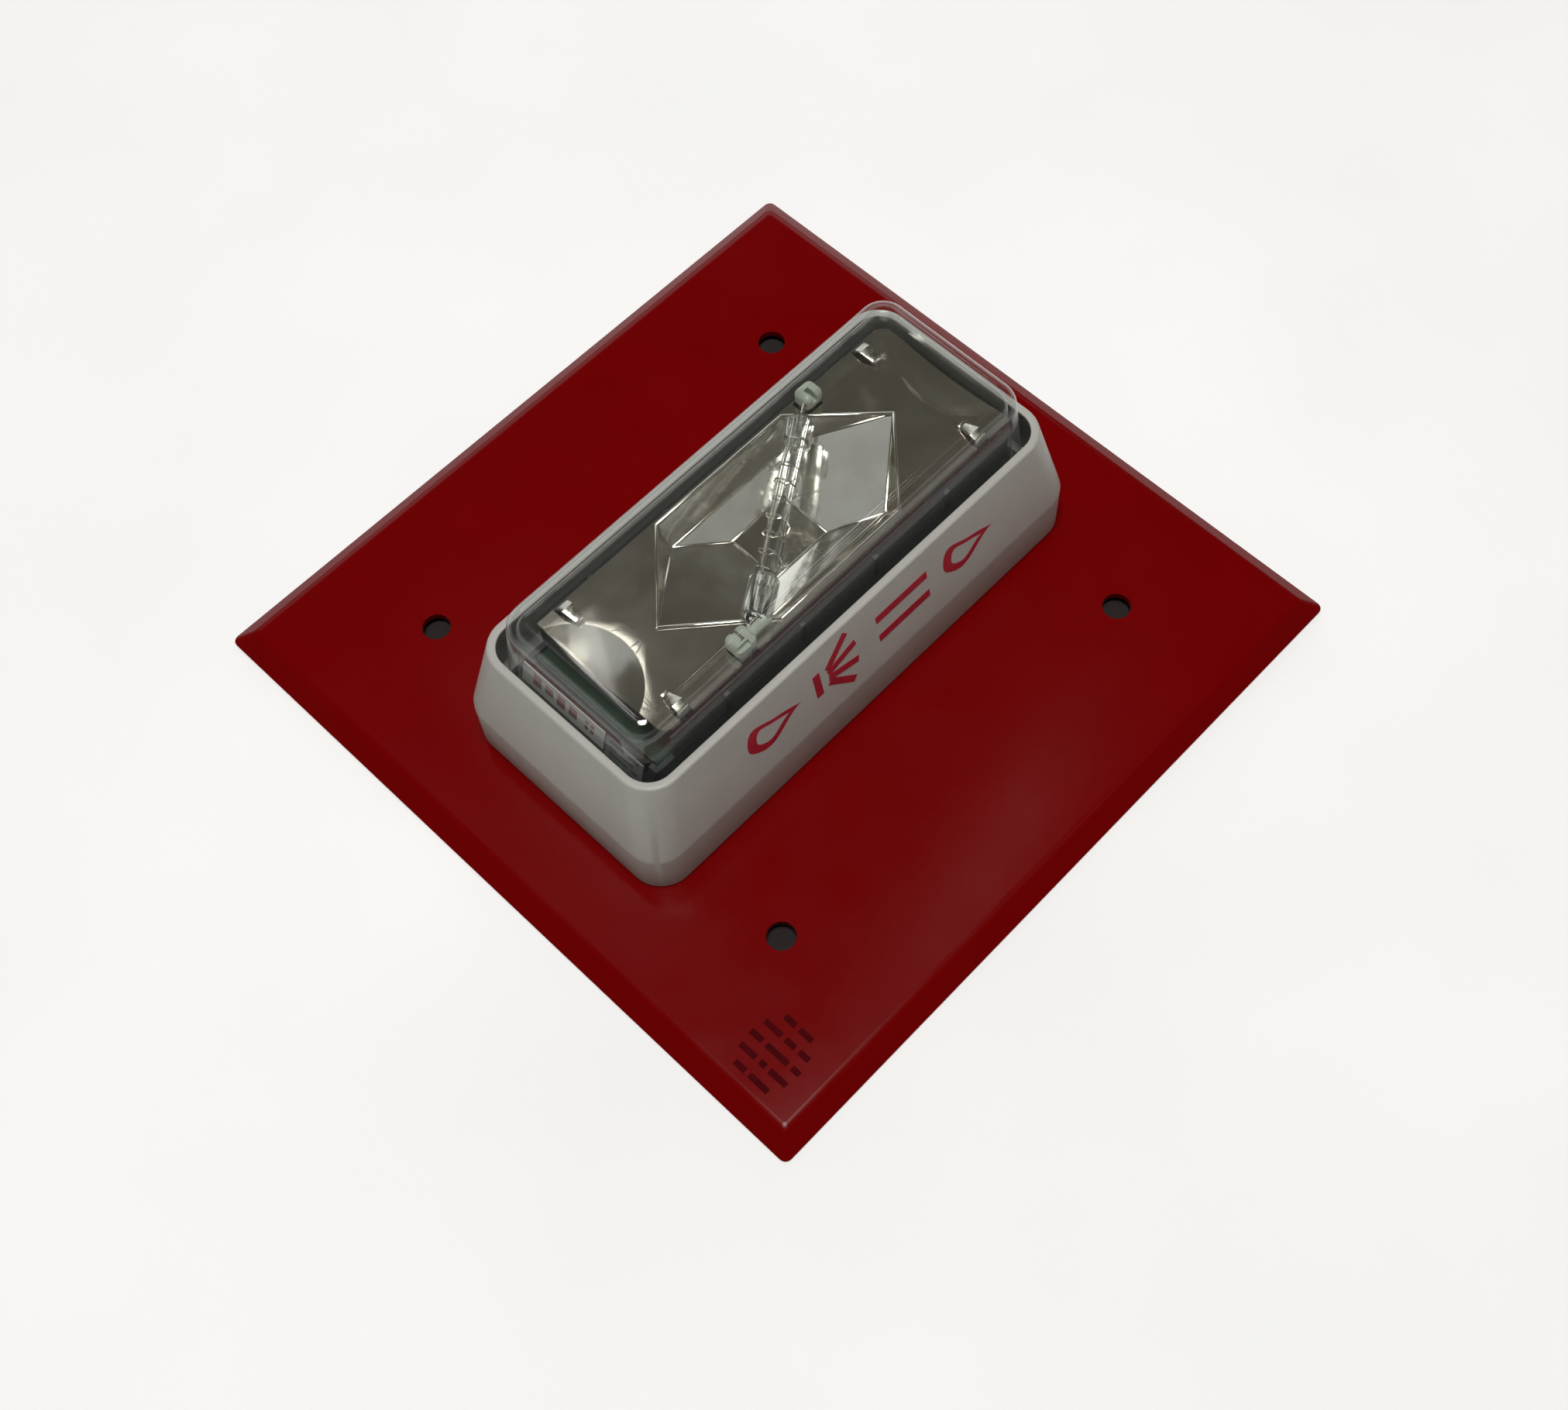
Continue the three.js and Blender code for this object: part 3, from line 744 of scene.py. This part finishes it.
class STROBE_OT_reflector(bpy.types.Operator):
    """Presses the metallised reflector with its faceted bowl and scooped ends"""

    bl_idname = "strobe.reflector"
    bl_label = "Reflector"

    def execute(self, context):
        low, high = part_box("reflector")
        half = (high.x - low.x) / 2 / MM
        middle = (high.x + low.x) / 2 / MM
        piece = outline("reflector_panel", half, 13.6, 2, up(26.2), (middle, 0), 6)
        grow(piece, 0.8)
        finish_faces(piece)
        skin = bowl_hull("skin", 0.4, 0.6, -0.8)
        trim = block("trim", (low.x / MM, -13.6, 0), (high.x / MM, 13.6, 27))
        cut_away(skin, trim, operation="INTERSECT")
        cut_away(piece, skin, operation="UNION")
        hollow = bowl_hull("hollow", 0, 0, 1)
        ridges = beads(hollow)
        cut_away(piece, hollow)
        for x, y in ((low.x / MM - 4.4, 2.0), (high.x / MM + 4.4, -1.0)):
            dish = ball("dish", x, y, SCOOP_CENTRE, SCOOP_RADIUS + SCOOP_SKIN)
            room = block("room", (low.x / MM, -13.6, 20), (high.x / MM, 13.6, 27))
            cut_away(dish, room, operation="INTERSECT")
            cut_away(piece, dish, operation="UNION")
            cut_away(piece, ball("scoop", x, y, SCOOP_CENTRE, SCOOP_RADIUS))
        for x, y in ((-31, 13), (33.6, 13), (-31, -13), (33.6, -13)):
            cut_away(piece, block("slot", (x - 1.3, y - 1, 20), (x + 1.3, y + 1, 30)))
        for x, y in ((20.6, 11.8), (-17.8, -11.8)):
            edge = math.copysign(15, y)
            lows = (x - 1.8, min(y - 1.8, edge), 20)
            cut_away(piece, block("gate", lows, (x + 1.8, max(y + 1.8, edge), 30)))
        ease(piece, 0.3, 3, 9)
        finish_faces(piece, 9)
        piece = merge("reflector_shell", piece, *ridges)
        settle(piece, mirror_film(), "reflector")
        return {"FINISHED"}


TUBE_TURN = math.atan2(20.1, 30.6)
TUBE_WAY = (math.cos(TUBE_TURN), math.sin(TUBE_TURN), 0)


def along_tube(piece, shift=0.0):
    """Lays an upright piece along the flash tube, its middle this many millimetres up the tube."""
    take(piece)
    piece.rotation_euler = (0, math.pi / 2, 0)
    bpy.ops.object.transform_apply(location=True, rotation=True, scale=True)
    middle = Vector((1.4 * MM, -0.75 * MM, up(29.3))) + Vector(TUBE_WAY) * shift * MM
    return lay(piece, middle, TUBE_WAY, (-TUBE_WAY[1], TUBE_WAY[0], 0))


def sleeve(name, radius, wall, length, shift, eased):
    """A round sleeve along the flash tube, in millimetres."""
    let_go()
    bpy.ops.mesh.primitive_cylinder_add(
        vertices=48, radius=radius * MM, depth=length * MM, end_fill_type="NOTHING"
    )
    piece = named(name)
    apply(piece, "SOLIDIFY", thickness=wall * MM, offset=-1.0)
    ease(piece, eased, 3, 50)
    along_tube(piece, shift)
    finish_faces(piece, 30)
    return piece


class STROBE_OT_tube(bpy.types.Operator):
    """Draws the flash tube with a clear sleeve on each end and finishes its wires"""

    bl_idname = "strobe.tube"
    bl_label = "Flash Tube"

    def execute(self, context):
        glass = tube_glass()
        settle(sleeve("flash_tube_glass", 1.5, 0.55, 36.6, 0, 0.2), glass, "flash_tube")
        for name, length, shift in (("sleeve_upper", 4.2, 15.4), ("sleeve_lower", 6.8, -14.6)):
            cuff = sleeve("tube_" + name, 2.35, 0.6, length, shift, 0.25)
            settle(cuff, clear_silicone())
        dress(nickel(), "igniter_wire", "electrode_1", "electrode_2")
        return {"FINISHED"}


class STROBE_OT_clips(bpy.types.Operator):
    """Bends the four spring clips that hook over the reflector"""

    bl_idname = "strobe.clips"
    bl_label = "Reflector Clips"

    def execute(self, context):
        let_go()
        bpy.ops.mesh.primitive_plane_add(size=2.2 * MM)
        strip = named("clip")
        edit()
        pick(strip, lambda c, n: c.y > 0, "VERT")
        bpy.ops.mesh.delete(type="VERT")
        route = ((12.85, 19.9), (12.85, 27.3), (12.6, 28.0), (11.6, 28.3), (9.2, 27.5), (8.7, 27.7))
        bpy.ops.mesh.select_all(action="SELECT")
        bpy.ops.transform.translate(value=(0, (route[0][0] + 1.1) * MM, up(route[0][1])))
        for (y0, z0), (y1, z1) in zip(route, route[1:]):
            bpy.ops.mesh.extrude_region_move(
                TRANSFORM_OT_translate={"value": (0, (y1 - y0) * MM, (z1 - z0) * MM)}
            )
        pick(strip, lambda c, n: c.y < 9.4 * MM, "VERT")
        bpy.ops.transform.resize(value=(0.6, 1, 1), center_override=(0, 0, 0))
        let_go()
        apply(strip, "SOLIDIFY", thickness=0.4 * MM, offset=0.0)
        ease(strip, 0.12, 2, 40)
        finish_faces(strip, 30)
        look = nickel()
        for i, (x, side) in enumerate(((-31, 1), (33.6, 1), (-31, -1), (33.6, -1)), 1):
            clip = twin(strip, f"clip_strip_{i}", (x, 0, 0), 0 if side > 0 else 180)
            settle(clip, look, f"reflector_clip_{i}")
        bpy.data.objects.remove(strip)
        return {"FINISHED"}


class STROBE_OT_holders(bpy.types.Operator):
    """Moulds the two nylon posts that hold the flash tube"""

    bl_idname = "strobe.holders"
    bl_label = "Tube Holders"

    def execute(self, context):
        look = milky_nylon()
        head = block("holder_head_upper", (18.9, 10.0, 27.3), (22.7, 13.4, 30.4), 1.0, 4)
        rear = block("rear", (19.4, 10.8, 20), (21.8, 12.8, 28.2), 0.5)
        cut_away(head, rear, operation="UNION")
        cut_away(head, block("slot", (20.15, 8, 28.9), (21.05, 12.1, 32)))
        finish_faces(head, 35)
        settle(head, look, "tube_holder_1")
        hook = block("holder_head_lower", (-19.7, -13.3, 27.3), (-15.7, -9.7, 30.3), 0.9, 4)
        arm = block("arm", (-16.6, -12.4, 28.2), (-11.9, -10.6, 29.7), 0.7)
        cut_away(hook, arm, operation="UNION")
        rear = block("rear", (-19.0, -12.8, 20), (-16.6, -10.8, 28.2), 0.5)
        cut_away(hook, rear, operation="UNION")
        cut_away(hook, block("notch", (-20.9, -14, 29.4), (-17.2, -12.5, 32)))
        cut_away(hook, block("slot", (-18.25, -12.1, 28.9), (-17.35, -8, 32)))
        finish_faces(hook, 35)
        settle(hook, look, "tube_holder_2")
        return {"FINISHED"}


WALL_LEAN = (22.1 - 18.95) / 16
LABEL_LEAN = 0.272


def flame(name, size):
    """A flame's outline as a flat ring, its tip towards +X, round the origin."""
    let_go()
    bpy.ops.mesh.primitive_circle_add(vertices=56, radius=MM)
    ring = named(name)
    for vert in ring.data.vertices:
        turn = math.atan2(vert.co.y, vert.co.x)
        waist = math.sin(turn / 2) ** 2 * (0.8 + 0.16 * math.sin(turn * 3))
        vert.co = (math.cos(turn) * size * 0.72 * MM, math.sin(turn) * waist * size * 0.74 * MM, 0)
    edit()
    bpy.ops.mesh.select_all(action="SELECT")
    bpy.ops.mesh.extrude_region_move()
    bpy.ops.transform.resize(value=(0.62, 0.6, 1), center_override=(-0.1 * size * MM, 0, 0))
    let_go()
    apply(ring, "SOLIDIFY", thickness=0.06 * MM, offset=1.0)
    return ring


def burst(name):
    """A flash's sign: a short bar with four rays spreading from it towards +X."""
    parts = [chip(name, -4.6, 0, 1.4, 5.2, 0.06)]
    for angle in (-42, -14, 14, 42):
        way = math.radians(angle)
        parts.append(chip("ray", -2.4 + 3.3 * math.cos(way), 5.4 * math.sin(way), 6.4, 1.3, 0.06, angle))
    return merge(name, *parts)


class STROBE_OT_marks(bpy.types.Operator):
    """Prints the pictograms on the bezel and the faint rows on the plate"""

    bl_idname = "strobe.marks"
    bl_label = "Printed Marks"

    def execute(self, context):
        ink = plain("crimson_pad_ink", "#920e26", "#a0132b", 3, (0.35, 0.5), 0.4, 0.003)
        signs = (
            (flame("flame", 8.0), 22.9),
            (merge("bars", *[chip("bar", 0, y, 11.4, 1.5, 0.06) for y in (2.2, -2.2)]), 7.9),
            (burst("burst"), -6.4),
            (flame("flame", 8.0), -20.3),
        )
        height = 17.4
        for i, (sign, x) in enumerate(signs, 1):
            y = -(22.1 - (height - 9) * WALL_LEAN) - 0.01
            lay(sign, (x * MM, y * MM, up(height)), (1, 0, 0), (0, WALL_LEAN, 1))
            finish_faces(sign)
            sign.name = f"bezel_sign_{i}"
            sign.data.name = sign.name
            settle(sign, ink)
        rows = ((-48.0, (2.2, 2.6)), (-50.5, (3.4, 2.0, 2.0)), (-53.0, (2.4, 4.4, 1.6)),
                (-55.5, (3.2, 1.2, 3.4)), (-58.0, (2.2, 3.8)))
        dashes = []
        for x, lengths in rows:
            y = -51.3 + (sum(lengths) + 0.8 * (len(lengths) - 1)) / 2
            for length in lengths:
                dashes.append(chip("dash", x, y - length / 2, 1.0, length, 0.02))
                y -= length + 0.8
        print_block = merge("plate_print", *dashes)
        lay(print_block, (0, 0, FACE), (1, 0, 0), (0, 1, 0))
        finish_faces(print_block)
        dark_ink = plain("dark_pad_ink", "#3e0206", "#480308", 3, (0.7, 0.85), 0.4, 0.003,
                         Specular_IOR_Level=0.05)
        settle(print_block, dark_ink)
        way_up = Vector((LABEL_LEAN, 0, 1)).normalized()
        face = Vector((-1, 0, LABEL_LEAN)).normalized()
        base = Vector((-40.6 * MM, 5.1 * MM, up(13))) + face * 0.52 * MM + way_up * 5.3 * MM
        strokes = ((-5.6, 2.3), (-3.0, 1.5), (-0.4, 2.3), (2.2, 1.9))
        bits = [chip("bit", x, 0, 1.7, height, 0.05) for x, height in strokes]
        bits += [chip("bit", x, y, 0.7, 0.7, 0.05) for x in (5.2, 6.4) for y in (-0.6, 0.6)]
        mark = lay(merge("label_marks", *bits), base, (0, -1, 0), way_up)
        finish_faces(mark)
        settle(mark, ink)
        base = Vector((-40.6 * MM, -8.1 * MM, up(13))) + face * 0.52 * MM + way_up * 4.2 * MM
        bits = [chip("bit", x, y, w, 0.45, 0.05) for x, y, w in (
            (-1.6, 2.2, 3.0), (1.9, 2.2, 2.2), (-2.2, 0.9, 1.6), (0.6, 0.9, 2.8),
            (-1.0, -0.4, 3.8), (2.4, -0.4, 1.2), (-1.9, -1.7, 2.2), (1.2, -1.7, 2.4))]
        mark = lay(merge("sticker_marks", *bits), base, (0, -1, 0), way_up)
        finish_faces(mark)
        settle(mark, plain("black_thermal_print", "#1c1e20", "#2a2d2f", 3, (0.4, 0.55), 0.4, 0.003))
        return {"FINISHED"}


class STROBE_OT_inside(bpy.types.Operator):
    """Finishes the housing, the circuit board and what is on it"""

    bl_idname = "strobe.inside"
    bl_label = "Housing and Circuit"

    def execute(self, context):
        dark = charcoal_pbt()
        dress(dark, "inner_housing")
        for i, side in enumerate((1, -1), 1):
            near, far = sorted((side * 13.75, side * 14.25))
            wall = block(f"housing_wall_{i}", (-35, near, 20.05), (39, far, 26.1), 0.15)
            for x in (-24, -8, 8, 24):
                y = side * 14.5
                rib = block("rib", (x - 0.5, y - 0.4, 20.05), (x + 0.5, y + 0.4, 25.4), 0.1)
                cut_away(wall, rib, operation="UNION")
            finish_faces(wall)
            settle(wall, dark)
        dress(board_laminate(), "circuit_board")
        # The insulating sheet's near-black is partly painted shade: it darkens the board where it lies in
        # the reflector's shadow.
        dress(plain("black_sheet_and_shade", "#1d1f20", "#292b2c", 5, (0.6, 0.8), 0.9, 0.02),
              "insulating_sheet")
        dress(plain("white_label_paper", "#e6e5e1", "#f0efec", 3, (0.4, 0.55), 0.3, 0.004),
              "rating_label")
        dress(plain("grey_sticker_film", "#7d8180", "#8b8f8e", 3, (0.4, 0.55), 0.3, 0.004),
              "serial_sticker")
        dress(plain("blue_capacitor_sleeve", "#1a2848", "#22335a", 4, (0.25, 0.4), 0.8, 0.01),
              "storage_capacitor")
        dress(plain("ochre_film_tape", "#a06e1c", "#b58328", 3, (0.3, 0.45), 0.6, 0.01),
              "trigger_transformer", "film_capacitor")
        dress(plain("sintered_ferrite", "#2c2a28", "#3b3835", 2, (0.55, 0.8), 0.25, 0.02),
              "inductor_core")
        dress(plain("enamelled_copper_wire", "#8a4c24", "#a9652f", 2, (0.25, 0.4), 0.5, 0.02,
                    Metallic=1.0), "inductor_winding")
        dress(plain("black_moulded_epoxy", "#131313", "#1f1f1f", 2, (0.4, 0.6), 0.2, 0.01),
              "switching_transistor", "rectifier_diode")
        dress(plain("tan_ceramic_coat", "#ab8f60", "#c2a675", 2, (0.5, 0.7), 0.3, 0.02),
              "bleed_resistor")
        dress(plain("green_terminal_nylon", "#256a3c", "#2f7d49", 3, (0.4, 0.55), 0.4, 0.01),
              "terminal_block")
        zinc = plain("zinc_plated_steel", "#9a9da0", "#b4b6b7", 1.5, (0.25, 0.42), 0.4, 0.008,
                     Metallic=1.0)
        dress(zinc, *[f"{kind}_{i}" for kind in ("terminal_screw", "wire_clamp", "bezel_screw")
                      for i in (1, 2, 3, 4)])
        return {"FINISHED"}


# ---- stage ----


def softbox(name, place, aim, size, power, tint):
    """An area light that faces a point, sized and placed in metres."""
    let_go()
    bpy.ops.object.light_add(type="AREA", location=place)
    lamp = bpy.context.object
    lamp.name = name
    lamp.rotation_euler = (Vector(aim) - Vector(place)).to_track_quat("-Z", "Y").to_euler()
    lamp.data.shape = "RECTANGLE"
    lamp.data.size, lamp.data.size_y = size
    lamp.data.energy = power
    lamp.data.color = tint[:3]
    return lamp


class STROBE_OT_stage(bpy.types.Operator):
    """Lays the floor, hangs the lights and sets the camera"""

    bl_idname = "strobe.stage"
    bl_label = "Stage"

    def execute(self, context):
        let_go()
        bpy.ops.mesh.primitive_circle_add(vertices=96, radius=3.0, fill_type="NGON",
                                          location=(0, 0, -0.0003))
        floor = named("floor")
        look, tree, shader, place = blank("pale_matt_floor")
        connect(
            tree,
            shader,
            Base_Color=mottle(tree, place, 60, paint("#f8fafd"), paint("#fdfeff")),
            Roughness=0.9,
        )
        floor.data.materials.append(look)
        # Painted shade: a dark pad on the floor under the plate, so that the plate's holes show dark.
        mat = outline("mat", 56, 56, 4, 0.00004)
        let_go()
        mat.data.materials.append(plain("dark_pad_painted_shade", "#1a1413", "#231b1a", 4, (0.9, 1.0), 0.5, 0.05))
        softbox("overhead", (-0.1, -0.08, 1.2), (0, 0, 0), (0.36, 0.34), 11.6, paint("#fffdfa"))
        softbox("back_low", (0.62, 0.85, 0.42), (0, 0, 0), (1.3, 0.5), 3.0, paint("#fbfcff"))
        softbox("strip_left", (0.18, 0.45, 1.1), (0, 0, 0), (0.03, 0.26), 0.11, paint("#fff8f2"))
        softbox("strip_right", (0.4, 0.16, 1.12), (0, 0, 0), (0.03, 0.26), 0.16, paint("#fff8f2"))
        softbox("fill_left", (-0.03, 0.46, 1.13), (0, 0, 0), (0.22, 0.3), 0.09, paint("#f6f9ff"))
        softbox("fill_right", (0.42, -0.33, 1.08), (0, 0, 0), (0.3, 0.3), 0.09, paint("#f6f9ff"))
        world = bpy.data.worlds.new("studio")
        context.scene.world = world
        world.use_nodes = True
        tree = world.node_tree
        height = add(tree, "SeparateXYZ", {0: add(tree, "TexCoord").outputs["Generated"]})
        room = add(tree, "ValToRGB", {"Fac": height.outputs["Z"]})
        room.color_ramp.elements[0].color = paint("#6a645b")
        room.color_ramp.elements[1].color = paint("#6a645b")
        middle = room.color_ramp.elements.new(0.8)
        middle.color = paint("#4f4a42")
        tree.links.new(room.outputs["Color"], tree.nodes["Background"].inputs["Color"])
        let_go()
        bpy.ops.object.camera_add(
            location=(-0.11287, -0.12504, 0.29482),
            rotation=[math.radians(a) for a in (27.458, 1.192, -46.323)],
        )
        camera = context.object
        camera.name = "camera"
        camera.data.sensor_width = 36
        camera.data.lens = 47.37
        camera.data.shift_x = -0.01998
        camera.data.shift_y = -0.00099
        camera.data.clip_start = 0.01
        context.scene.camera = camera
        context.scene.view_settings.view_transform = "Standard"
        return {"FINISHED"}


# ---- panel, settings and registration ----


class StrobeSizes(bpy.types.PropertyGroup):
    """Sizes of the rounded edges that a maker might change"""

    plate_bend: FloatProperty(
        name="Plate Bend",
        description="How far the fold of the box plate is rounded",
        default=0.9 * MM,
        unit="LENGTH",
    )
    rim_round: FloatProperty(
        name="Rim Rounding",
        description="How far the edges of the bezel's rim are rounded",
        default=0.28 * MM,
        unit="LENGTH",
    )
    lens_round: FloatProperty(
        name="Lens Rounding",
        description="The fillet round the top of the lens",
        default=3.0 * MM,
        unit="LENGTH",
    )


class StrobeColours(bpy.types.PropertyGroup):
    """Colours of the large pieces"""

    plate: FloatVectorProperty(
        name="Plate",
        description="Colour of the enamelled plate",
        subtype="COLOR",
        default=paint("#6b0002")[:3],
        min=0,
        max=1,
    )
    bezel: FloatVectorProperty(
        name="Bezel",
        description="Colour of the moulded bezel",
        subtype="COLOR",
        default=paint("#a7a7a2")[:3],
        min=0,
        max=1,
    )


MAKERS = (
    STROBE_OT_stage,
    STROBE_OT_plate,
    STROBE_OT_bezel,
    STROBE_OT_lens,
    STROBE_OT_reflector,
    STROBE_OT_tube,
    STROBE_OT_clips,
    STROBE_OT_holders,
    STROBE_OT_marks,
    STROBE_OT_inside,
)


class STROBE_PT_panel(bpy.types.Panel):
    """Lists the makers of the strobe light's pieces"""

    bl_idname = "STROBE_PT_panel"
    bl_label = "Wall Strobe Light"
    bl_space_type = "VIEW_3D"
    bl_region_type = "UI"
    bl_category = "Strobe"

    def draw(self, context):
        for settings in (context.scene.strobe_sizes, context.scene.strobe_colours):
            for key in settings.__annotations__:
                self.layout.prop(settings, key)
        for maker in MAKERS:
            self.layout.operator(maker.bl_idname)


CLASSES = (StrobeSizes, StrobeColours, *MAKERS, STROBE_PT_panel)


def register():
    for entry in CLASSES:
        bpy.utils.register_class(entry)
    bpy.types.Scene.strobe_sizes = PointerProperty(type=StrobeSizes)
    bpy.types.Scene.strobe_colours = PointerProperty(type=StrobeColours)


def unregister():
    del bpy.types.Scene.strobe_colours
    del bpy.types.Scene.strobe_sizes
    for entry in reversed(CLASSES):
        bpy.utils.unregister_class(entry)


def main():
    """Makes every piece in order."""
    register()
    for maker in MAKERS:
        group, name = maker.bl_idname.split(".")
        getattr(getattr(bpy.ops, group), name)()


if __name__ == "__main__":
    main()
